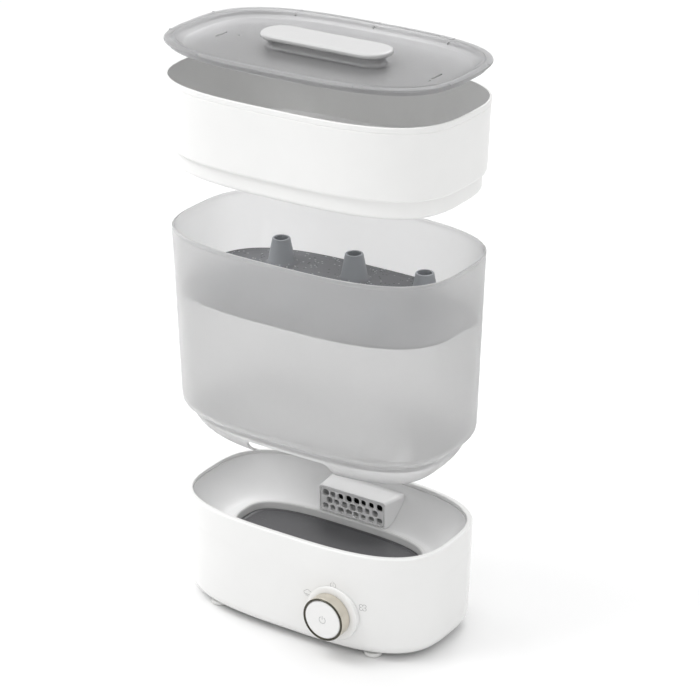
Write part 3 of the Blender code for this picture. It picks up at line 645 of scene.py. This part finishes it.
# %% Shape the base shell
EDGE = 12.7
edge_centre = (135.7 - EDGE, BASE_LOW + EDGE)
shell_section = arc((136.3, BASE_RIM - 1.7), 1.7, 90, 0)
shell_section += [(137.8, 84), (137.65, 80), (137.3, 75), (136.9, 58), (136.55, 40), (136.0, 26)]
shell_section += arc(edge_centre, EDGE, 0, -90, 14)
shell_section += [(119, BASE_LOW), (119, BASE_LOW + 2.8), (111, BASE_LOW + 2.8), (111, BASE_LOW + 5.2)]
shell_section += arc(edge_centre, EDGE - 2.4, -60, 0, 6)
shell_section += [(134.2, 40), (135.0, 74), (135.4, BASE_RIM - 3.4), (133.0, BASE_RIM - 3.4),
                  (133.0, BASE_RIM - 0.8)]
shell_section += arc((134.0, BASE_RIM - 1.0), 1.0, 180, 90, 4)
housing = solid("base_shell", tier(shell_section, 0), hollow=True)
cover = solid("filter_door", tier(shell_section, 0), hollow=True)
print("shell section points:", len(shell_section))

# %% [markdown]
# ## Openings in the shell
# The front wall has a hole for the selector's shaft. The rear wall has a rounded window
# for the filter door and another for the mains inlet. The door is cut from a copy of the
# same shell, a little smaller than its window, so that its face follows the wall exactly.

# %% Cut the shell, cut the door
knob_low, knob_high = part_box("knob_ring")
KNOB = ((knob_low.x + knob_high.x) / 2 / MM, (knob_low.z + knob_high.z) / 2 / MM)
knob_axis = (KNOB[0], Y0, KNOB[1])
combine(housing, solid("shaft_hole", spun([(6, -90), (6, -60)], knob_axis, "Y", 48)))
WINDOW = ((-24, 38), 28, 18)
window = stadium(*WINDOW, 2.5)
door = stadium(WINDOW[0], WINDOW[1] - 0.4, WINDOW[2] - 0.4, 2.1)
combine(housing, solid("window", [facing(window, y) for y in (60, 90)]))
combine(cover, solid("door_limits", [facing(door, y) for y in (60, 90)]), "INTERSECT")
louvres = []
for row in range(5):
    outline = stadium((-24, 28.1 + row * 5.5), 22, 1.1, 1.05, 6)
    louvres.append([facing(outline, y) for y in (60, 90)])
combine(cover, solid("louvres", *louvres))
inlet_low, inlet_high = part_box("power_inlet")
inlet_centre = ((inlet_low.x + inlet_high.x) / 2 / MM, (inlet_low.z + inlet_high.z) / 2 / MM)
inlet_hole = stadium(inlet_centre, 13, 9.5, 1.6)
combine(housing, solid("inlet_hole", [facing(inlet_hole, y) for y in (60, 90)]))
screws = [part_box("cover_screw_%d" % number) for number in (1, 2, 3, 4)]
screw_places = [((low.x + high.x) / 2 / MM, (low.y + high.y) / 2 / MM) for low, high in screws]
screw_holes = [spun([(2, 0), (2, 12)], (x, y, 0), sides=24) for x, y in screw_places]
combine(housing, solid("screw_holes", *screw_holes))
finish(housing, gloss_abs, "base", "white_gloss", "outer_housing")
finish(cover, gloss_abs, "filter_door", "white_gloss", "filter_cover")

# %% [markdown]
# ## The tub
# The water sits in a shallow grey bowl inside the base. Its wall comes in slowly and then
# turns to a flat ledge round the heater. One bowl curve serves the tub, the skirt that
# sits in it and the space that trims the vent hood.

# %% Shape the tub
TUB_FLOOR = 71.0
TUB_DEPTH = BASE_RIM - TUB_FLOOR
TUB_TOP = 132.8
TUB_FLARE = 28


def tub_inside(share, clear=0.0):
    """Half length and height of the tub's inner face at a share of its depth."""
    return (TUB_TOP - clear - TUB_FLARE * bowl(share), BASE_RIM - TUB_DEPTH * share + clear * share)


tub_shares = [0.10 + 0.90 * math.sin(math.pi / 2 * step / 20) for step in range(21)]
tub_in = [tub_inside(share) for share in tub_shares]
tub_out = [(half + 2, z - 2 * share) for (half, z), share in zip(tub_in, tub_shares)]
heater_hole = [(98.3, TUB_FLOOR), (97.9, TUB_FLOOR - 0.4), (97.9, TUB_FLOOR - 2)]
tub = solid("tub", tier(tub_in + heater_hole + tub_out[::-1], 0), hollow=True)
VENT_Z = 84
air_hole = stadium((0, VENT_Z), 30, 8, 2)
combine(tub, solid("air_hole", [facing(air_hole, y) for y in (40, 80)]))
finish(tub, tub_pp, "base", "tub_grey", "inner_tub")

# %% [markdown]
# ## The vent hood
# Warm air for drying enters through a box on the tub's rear wall. Its front is a rounded
# frame, and its back is trimmed by the bowl itself, so the two meet without a gap.

# %% Shape the hood
HOOD_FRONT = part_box("vent_hood")[0].y / MM - Y0
hood_rings = []
for y, shrink in ((0, 1.3), (0.35, 0.45), (1.3, 0)):
    outline = stadium((0, 83.8), 37.5 - shrink, 14.7 - shrink, 3.6 - shrink * 0.6)
    hood_rings.append(facing(outline, HOOD_FRONT + y))
hood_rings.append(facing(stadium((0, 82.8), 43.5, 13.7, 3.6), 80))
hood = solid("vent_hood_box", hood_rings)
bowl_rings = [tub_inside(share, 0.3) for share in [0.0] + tub_shares]
tub_space = solid("tub_space", tier([(bowl_rings[0][0], BASE_RIM + 8)] + bowl_rings, 0))
combine(hood, tub_space, "INTERSECT")
passage = stadium((0, VENT_Z), 34, 9.5, 2)
combine(hood, solid("passage", [facing(passage, y) for y in (30, 90)]))
recess = []
for y, grow in ((-1, 0.9), (0.5, 0), (2.6, 0)):
    outline = stadium((0, VENT_Z), 35.8 + grow, 12.3 + grow, 4 + grow)
    recess.append(facing(outline, HOOD_FRONT + y))
combine(hood, solid("recess", recess))
finish(hood, tub_pp, "base", "tub_grey", "vent_hood")

# %% [markdown]
# ## The grille
# Three staggered rows of holes cover the vent. They are slightly uneven in size and place,
# so the grille reads as a foam-like pattern instead of a plain net. Each hole widens
# towards the front, which rounds the thin ribs between them.

# %% Drill the grille
grille_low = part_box("vent_grille")[0].y / MM - Y0
grille_rings = []
for y, shrink in ((0, 0.4), (0.4, 0), (2.0, 0)):
    outline = stadium((0, VENT_Z), 35.4 - shrink, 11.9 - shrink, 3.7)
    grille_rings.append(facing(outline, grille_low + y))
grille = solid("grille", grille_rings)
HOLE_PITCH = 8.6
ROW_PITCH = 7.3
holes = []
for row in range(3):
    count = 7 if row == 1 else 8
    for column in range(count):
        uneven = math.sin(12.9 * row + 4.7 * column)
        centre = ((column - (count - 1) / 2) * HOLE_PITCH + 0.5 * uneven,
                  VENT_Z + (row - 1) * ROW_PITCH + 0.3 * math.cos(7.1 * column + row))
        size = 3.1 + 0.35 * uneven
        ring = [(size + 0.55, -0.6), (size + 0.12, 0.35), (size, 0.9), (size, 3.0)]
        holes.append([facing(stadium(centre, radius, radius * 0.96, radius * 0.72, 5), grille_low + y)
                      for radius, y in ring])
combine(grille, solid("holes", *holes))
finish(grille, tub_pp, "base", "tub_grey", "vent_grille")

# %% [markdown]
# ## Coated heater plate
# The floor of the tub is a pressed aluminium plate with a dark non-stick coating. The
# coating is sprayed, so it has an orange-peel skin of about 0.6 mm and tiny bright mineral
# flecks. Satin roughness lets the light above it spread into a broad soft sheen.

# %% The coating
coating = moulded("sprayed non-stick coating", ("#565658", "#4f4f51"), 0.34, 0.6, 9.0, 1.45, 40.0)
tree = coating.node_tree
shader = tree.nodes["Principled BSDF"]
place = add(tree, "TexCoord")
dots = add(tree, "TexVoronoi", {"Vector": place.outputs["Object"], "Scale": 1 / (1.6 * MM)})
bright = add(tree, "Math", {0: dots.outputs["Distance"], 1: 0.14}, operation="LESS_THAN")
coat_colour = shader.inputs["Base Color"].links[0].from_socket
flecked = add(tree, "Mix", {0: bright.outputs[0], 6: coat_colour, 7: linear("#85858a")}, data_type="RGBA")
tree.links.new(flecked.outputs[2], shader.inputs["Base Color"])
print("coating flecks every 1.6 mm")

# %% [markdown]
# ## The plate and its seal
# The plate has a low raised rim. A silicone ring holds it in the tub's opening: one lip is
# pinched under the tub and the other covers the joint. Both follow the shared plan.

# %% Shape the plate and its seal
plate_section = [(93.8, 62.6), (95.0, 63.2), (95.0, 65.4), (93.8, 66.0), (91.8, 65.9), (90.4, 65.0)]
plate = solid("heater", tier(soften(plate_section, 0.4, closed=False), 0))
finish(plate, coating, "base", "heater_coating", "heater_plate")
seal_section = [(95.4, 62.6), (97.5, 62.6), (97.5, 71.4), (99.2, 71.4), (99.0, 72.2), (96.4, 72.6),
                (95.5, 71.4)]
seal = solid("seal", tier(soften(seal_section, 0.5), 0), hollow=True)
finish(seal, silicone, "base", "silicone", "heater_seal")

# %% [markdown]
# ## Anodised aluminium for the selector
# The turning ring is lathe-turned aluminium with a champagne anodised layer. Turning leaves
# fine lines that run round the ring, so the pattern changes only along the axis. The lines
# are about 0.05 mm apart on a real ring, which is too fine to show here, so they are drawn
# 0.4 mm apart. A metal keeps the default IOR, because its colour comes from the base colour.

# %% The turned metals
def turned_metal(name, colours, roughness, line_mm, axis):
    """A metal whose fine lines run round one axis: the noise is stretched across the others."""
    made = bpy.data.materials.new(name)
    made.use_nodes = True
    tree = made.node_tree
    shader = tree.nodes["Principled BSDF"]
    shader.inputs["Metallic"].default_value = 1.0
    place = add(tree, "TexCoord")
    stretch = [2.0, 2.0, 2.0]
    stretch["XYZ".index(axis)] = 1 / (line_mm * MM)
    along = add(tree, "Mapping", {"Vector": place.outputs["Object"], "Scale": stretch})
    lines = add(tree, "TexNoise", {"Vector": along.outputs["Vector"], "Scale": 1.0, "Detail": 3.0})
    tint = add(tree, "Mix", {0: lines.outputs["Fac"], 6: linear(colours[0]), 7: linear(colours[1])},
               data_type="RGBA")
    polish = add(tree, "MapRange", {"Value": lines.outputs["Fac"], "From Min": 0.3, "From Max": 0.7,
                                    "To Min": roughness * 0.8, "To Max": roughness * 1.2})
    relief = add(tree, "Bump", {"Height": lines.outputs["Fac"], "Distance": 8e-6})
    tree.links.new(tint.outputs[2], shader.inputs["Base Color"])
    tree.links.new(polish.outputs[0], shader.inputs["Roughness"])
    tree.links.new(relief.outputs["Normal"], shader.inputs["Normal"])
    return made


# Anodised: warm grey, soft and slightly streaked.
anodised = turned_metal("champagne anodised aluminium", ("#e6e0d4", "#d0cabd"), 0.34, 0.4, "Y")
# Black chrome: the same lines under a dark bright plating.
black_chrome = turned_metal("black chrome plating", ("#5a584f", "#4b4942"), 0.22, 0.4, "Y")
# Stainless steel: bright and neutral, for screws and the element.
steel = turned_metal("drawn stainless steel", ("#cfcfd0", "#bcbcbe"), 0.27, 0.5, "Z")
print("metals:", anodised.name, black_chrome.name, steel.name)

# %% [markdown]
# ## The selector knob
# The knob is a ring that turns, with a dark plated edge and a white push face that carries
# the power symbol. Behind it a pale disc is moulded on the wall. Each piece is spun from
# its own section about the knob's axis, with enough sides to look round in close-up.

# %% Shape the ring, the edge and the face
FACE_Y = -91.7


def spun_piece(name, section, material, body, slot, node, hollow=True, reach=0.35):
    """Spin a softened section about the knob's axis and finish it."""
    rings = spun(soften(section, reach, closed=hollow), knob_axis, "Y", 128)
    finish(solid(name, rings, hollow=hollow), material, body, slot, node)


ring_section = [(20.3, -78.3), (20.9, -79.0), (20.9, -90.4), (19.0, -90.4), (19.0, -82.3), (5.4, -82.3),
                (5.4, -78.3)]
spun_piece("selector_ring", ring_section, anodised, "knob", "champagne_metal", "knob_ring")
edge_section = [(19.0, -90.7), (20.9, -90.7), (20.9, -91.3), (20.2, -92.0), (19.6, -92.0), (19.0, -91.6)]
spun_piece("selector_edge", edge_section, black_chrome, "knob", "dark_trim", "knob_trim", reach=0.2)
face_section = [(2.6, -64.5), (2.6, -89.0), (18.4, -89.0), (18.7, -89.4), (18.7, -91.0), (17.9, -91.5),
                (14, -91.66), (6, FACE_Y)]
spun_piece("push_face", face_section, gloss_abs, "button", "white_gloss", "power_button", hollow=False)

# %% [markdown]
# ## The disc behind the knob
# The disc has a flat front and a back that follows the curved wall. It is spun as a thick
# plug and the volume of the base is then cut away from it, which leaves the fitted back.

# %% Shape the pale disc
disc_section = [(27.0, -70), (27.0, -76.7), (26.6, -77.2), (25.6, -77.6), (24.2, -77.8), (22.6, -77.9)]
disc = solid("selector_disc", spun(disc_section, knob_axis, "Y", 128))
wall_section = [(136.2, 10), (136.2, 18), (136.3, 26), (136.85, 40), (137.2, 58), (137.6, 74)]
combine(disc, solid("wall_outside", tier(wall_section, 0)))
combine(disc, solid("disc_bore", spun([(6, -85), (6, -60)], knob_axis, "Y", 64)))
finish(disc, gloss_abs, "base", "white_gloss", "knob_bezel")

# %% [markdown]
# ## Printed symbols
# The mode symbols are pad-printed. Each one is a set of strokes, laid as a thin raised
# ribbon that follows the curve of the wall, so it stays printed on the surface from any
# angle. The symbols are generic: a steam cloud, a looping arrow for the full cycle, a
# small fan for drying, and the usual power mark.

# %% Lay a stroke of ink on a surface
WALL_HALF = 136.55
WALL_HEIGHT = 40
WALL_LEAN = 0.0195


def wall_y(x, z):
    """Depth of the base wall's front face at a point, from the plan's own equation."""
    half = WALL_HALF + (z - WALL_HEIGHT) * WALL_LEAN
    share = (1 - (abs(x) / half) ** SQUARENESS) ** (1 / SQUARENESS)
    return -(half - SLENDERNESS / MM) * share


def ribbon(points, width, surface_y):
    """Rings of a flat stroke along (x, z) points, 0.1 mm proud of the surface."""
    rings = []
    for i, (x, z) in enumerate(points):
        ahead = points[min(i + 1, len(points) - 1)]
        behind = points[max(i - 1, 0)]
        way = Vector((ahead[0] - behind[0], ahead[1] - behind[1])).normalized()
        across = (-way.y * width / 2, way.x * width / 2)
        ring = []
        for side, proud in ((-1, -0.06), (1, -0.06), (1, 0.10), (-1, 0.10)):
            px = x + side * across[0]
            pz = z + side * across[1]
            ring.append(Vector((px, surface_y(px, pz) - proud + Y0, pz)) * MM)
        rings.append(ring)
    return rings


def printed(name, strokes, width, surface_y, body):
    """One symbol from several strokes, each a list of (x, z) points."""
    symbol = solid(name, *[ribbon(points, width, surface_y) for points in strokes])
    finish(symbol, grey_ink, body, "tub_grey")


def placed(points, offset, size):
    """Unit points scaled and moved to a place given from the knob's axis."""
    return [(KNOB[0] + offset[0] + x * size, KNOB[1] + offset[1] + z * size) for x, z in points]


STEAM = ((-25.4, 13.3), 4.3)
CYCLE = ((1.4, 28.8), 3.4)
FAN = ((30.1, 12.4), 4.0)
print("symbols from the knob's axis, place and size (mm):", STEAM, CYCLE, FAN)

# %% Print the steam cloud
cloud = arc((-0.62, 0.05), 0.38, 270, 105, 8) + arc((-0.02, 0.32), 0.50, 150, 30, 8)
cloud += arc((0.62, 0.08), 0.41, 75, -90, 8) + [(-0.62, -0.33)]
strokes = [placed(cloud, *STEAM)]
for x in (-0.4, 0.0, 0.4):
    wisp = [(x, -0.50), (x - 0.08, -0.64), (x, -0.80)]
    strokes.append(placed(wisp, *STEAM))
printed("symbol_steam", strokes, 0.50, wall_y, "base")

# %% Print the looping arrow
loop = arc((0, 0), 0.80, 55, -240, 28)
head = [(-0.15, 1.12), (0.38, 0.72), (-0.12, 0.38)]
dot = [(-0.14, 0), (0.14, 0)]
strokes = [placed(points, *CYCLE) for points in (loop, head, dot)]
printed("symbol_cycle", strokes, 0.50, wall_y, "base")

# %% Print the fan
strokes = []
for quarter in range(4):
    turn = math.radians(90 * quarter + 45)
    middle = (0.55 * math.cos(turn), 0.55 * math.sin(turn))
    blade = arc(middle, 0.40, 90 * quarter - 110, 90 * quarter + 190, 16)
    strokes.append(placed(blade, *FAN))
printed("symbol_fan", strokes, 0.48, wall_y, "base")

# %% Print the power mark
ring_mark = arc(KNOB, 3.3, 60, -240, 40)
bar = [(KNOB[0], KNOB[1] + 0.6), (KNOB[0], KNOB[1] + 4.2)]
printed("symbol_power", [ring_mark, bar], 0.62, lambda x, z: FACE_Y, "button")

# %% [markdown]
# ## Feet
# Four low feet lift the base off the worktop. They are spun again with more sides, so they
# look round from the side. The steel screws, the bottom cover and all the works inside
# keep their CAD meshes and only need their finishes.

# %% Spin the feet
for name in ("front_left", "front_right", "rear_left", "rear_right"):
    low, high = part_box("foot_" + name)
    centre = ((low.x + high.x) / 2 / MM, (low.y + high.y) / 2 / MM, 0)
    rings = spun([(6.0, 0.0), (7.2, 0.15), (8.1, 0.8), (8.5, 1.8), (8.5, 4.2)], centre, sides=64)
    finish(solid("pad_" + name, rings), matt_pp, "base", "white_matt", "foot_" + name)

# %% [markdown]
# ## Foam and circuit board
# The air filter is open-cell foam: cells of about 1.2 mm and no gloss, with painted shade darkening the
# hollows.
# The circuit board wears a green solder mask over copper tracks, which show as slightly
# lighter lines about 1.3 mm apart, and the mask leaves a soft even sheen.

# %% The foam and the solder mask
foam = moulded("open cell filter foam", ("#43474b", "#3a3e42"), 0.95, 1.2, 60.0, 1.4)
tree = foam.node_tree
place = add(tree, "TexCoord")
pores = add(tree, "TexVoronoi", {"Vector": place.outputs["Object"], "Scale": 1 / (1.2 * MM)})
# Painted shade: the colour darkens with the distance from each cell's centre, for the shade in the foam's
# hollows.
hollow = add(tree, "Mix", {0: pores.outputs["Distance"], 6: linear("#4a4f54"), 7: linear("#1c1f22")},
             data_type="RGBA")
depth = add(tree, "Bump", {"Height": pores.outputs["Distance"], "Distance": 0.4 * MM})
tree.links.new(hollow.outputs[2], tree.nodes["Principled BSDF"].inputs["Base Color"])
tree.links.new(depth.outputs["Normal"], tree.nodes["Principled BSDF"].inputs["Normal"])

solder_mask = moulded("green solder mask", ("#1f5a38", "#1a5032"), 0.32, 0.8, 5.0, 1.5)
tree = solder_mask.node_tree
place = add(tree, "TexCoord")
bands = add(tree, "TexWave", {"Vector": place.outputs["Object"], "Scale": 1 / (26 * MM), "Distortion": 3.0,
                              "Detail": 0.0}, bands_direction="Z")
track = add(tree, "Math", {0: bands.outputs["Fac"], 1: 0.72}, operation="GREATER_THAN")
mask_colour = tree.nodes["Principled BSDF"].inputs["Base Color"].links[0].from_socket
tracked = add(tree, "Mix", {0: track.outputs[0], 6: mask_colour, 7: linear("#35794e")}, data_type="RGBA")
tree.links.new(tracked.outputs[2], tree.nodes["Principled BSDF"].inputs["Base Color"])
print("foam and board finishes are ready")

# %% Finish the pieces that keep their CAD mesh
screw_names = ["cover_screw_%d" % number for number in (1, 2, 3, 4)]
kept = {
    matt_pp: ["bottom_cover"],
    steel: ["heater_element", "thermostat", "fan_motor", "button_spring"] + screw_names,
    black_nylon: ["fan_shroud", "air_duct", "selector_switch", "tact_switch", "power_inlet"],
    grey_acetal: ["fan_impeller", "knob_shaft"],
    foam: ["air_filter"],
    solder_mask: ["control_board"],
}
for material, names in kept.items():
    for name in names:
        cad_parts[name].data.materials.clear()
        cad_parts[name].data.materials.append(material)
print("CAD meshes kept:", sum(len(names) for names in kept.values()))

# %% [markdown]
# ## Worktop and light
# A plain pale worktop fills the view. A large soft lamp to the left gives one gentle side
# of light and lets the shadows fall softly to the right. A low one shines through the gap
# under the lower basket to the far wall of the tub, and one behind picks out the rims. A
# pale surrounding light, brighter overhead, keeps the white pieces clean. The worktop has
# a faint grain so that it is not dead flat.

# %% Lay the worktop
worktop_finish = moulded("pale worktop laminate", ("#e8e8e8", "#e6e6e6"), 0.6, 3.0, 6.0, 1.45, 180.0)
WORKTOP = 6000
worktop = solid("worktop", [upright(stadium((0, 0), WORKTOP, WORKTOP, 100), z) for z in (-20, -0.05)])
worktop.data.materials.append(worktop_finish)
print("worktop half width:", WORKTOP, "mm")

# %% Hang the lamps
def lamp(name, place, aim, size, power):
    """A round soft lamp at a place, turned towards its aim."""
    light = bpy.data.lights.new(name, "AREA")
    light.shape = "DISK"
    light.size = size
    light.energy = power
    made = bpy.data.objects.new(name, light)
    made.location = place
    made.rotation_euler = (Vector(aim) - Vector(place)).to_track_quat("-Z", "Y").to_euler()
    bpy.context.scene.collection.objects.link(made)


AIM = (0, 0, 0.25)
lamp("key", (-1.1, -0.9, 2.3), AIM, 1.4, 25)
lamp("low_left", (-1.5, 0.2, 0.6), (0.12, 0, 0.1), 0.8, 5)
lamp("fill", (1.9, -1.3, 1.2), AIM, 1.4, 3)
lamp("back", (-0.2, 1.7, 2.0), AIM, 1.0, 13)
world = bpy.data.worlds.new("studio")
world.use_nodes = True
sky = world.node_tree
compass = add(sky, "TexCoord")
height = add(sky, "SeparateXYZ", {0: compass.outputs["Generated"]})
fade = add(sky, "MapRange", {"Value": height.outputs["Z"], "From Min": 0.0, "From Max": 1.0,
                             "To Min": 0.32, "To Max": 1.45})
sky.links.new(fade.outputs[0], sky.nodes["Background"].inputs["Strength"])
sky.nodes["Background"].inputs["Color"].default_value = (1.0, 1.0, 1.0, 1.0)
bpy.context.scene.world = world
bpy.context.scene.view_settings.view_transform = "Standard"

# %% [markdown]
# ## Camera
# A long lens from the front right, looking down by about a quarter of a right angle, shows
# the inside of each tier and keeps the upright edges nearly parallel.

# %% Place the camera
lens = bpy.data.cameras.new("long_lens")
lens.lens = 127.08
lens.sensor_width = 36
camera = bpy.data.objects.new("camera", lens)
right = Vector((0.8355, 0.5495, 0.0)).normalized()
back = Vector((0.50172, -0.76300, 0.40756)).normalized()
up = back.cross(right)
turn = Matrix((right, up, back)).transposed().to_4x4()
camera.matrix_world = Matrix.Translation((1.13686, -1.68894, 1.17115)) @ turn
bpy.context.scene.collection.objects.link(camera)
bpy.context.scene.camera = camera
print("camera distance (m):", round(camera.location.length, 3))
